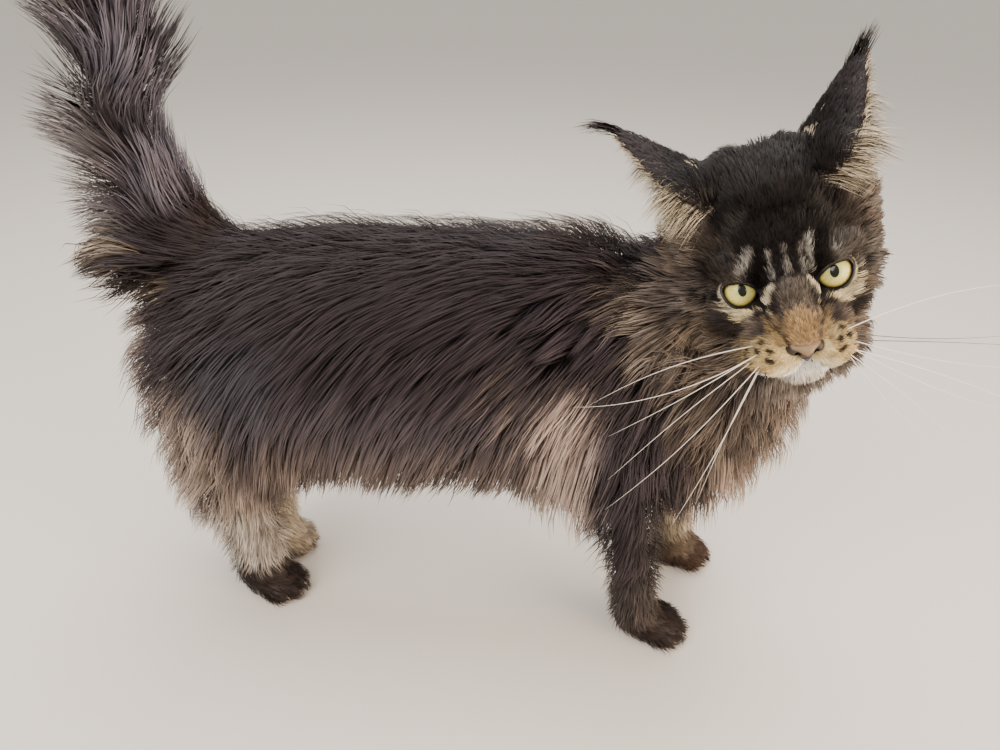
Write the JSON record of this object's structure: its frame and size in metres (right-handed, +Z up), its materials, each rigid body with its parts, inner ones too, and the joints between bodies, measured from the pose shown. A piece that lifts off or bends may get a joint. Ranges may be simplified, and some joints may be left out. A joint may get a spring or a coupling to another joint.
{
  "type": "maine coon cat",
  "caption": "Life-size still model of a standing Maine Coon cat with a long dark coat, its head turned to its right and its bushy tail raised.",
  "frame": {"origin": "on the floor, under the middle of the bounding box", "axes": "+X from tail to chest, +Y to the cat's left side, +Z up"},
  "size_m": [0.5598, 0.173, 0.549],
  "materials": {
    "coat": "long soft black and brown tabby fur with a satin sheen",
    "eye": "wet, glossy, yellow-green with a dark pupil",
    "nose": "moist grey-pink leather with a dark rim",
    "horn": "smooth pale bristle and claw"
  },
  "bodies": {
    "root": {"chest": "coat", "ear_left": "coat", "ear_right": "coat", "eye_left": "eye", "eye_right": "eye", "forepaw_left": "coat", "forepaw_right": "coat", "head": "coat", "hind_paw_left": "coat", "hind_paw_right": "coat", "hindquarters": "coat", "lower_foreleg_left": "coat", "lower_foreleg_right": "coat", "muzzle": "coat", "neck": "coat", "nose": "nose", "shank_left": "coat", "shank_right": "coat", "tail_base": "coat", "tail_middle": "coat", "tail_tip": "coat", "thigh_left": "coat", "thigh_right": "coat", "trunk": "coat", "upper_foreleg_left": "coat", "upper_foreleg_right": "coat", "whiskers_left": "horn", "whiskers_right": "horn"}
  },
  "joints": []
}
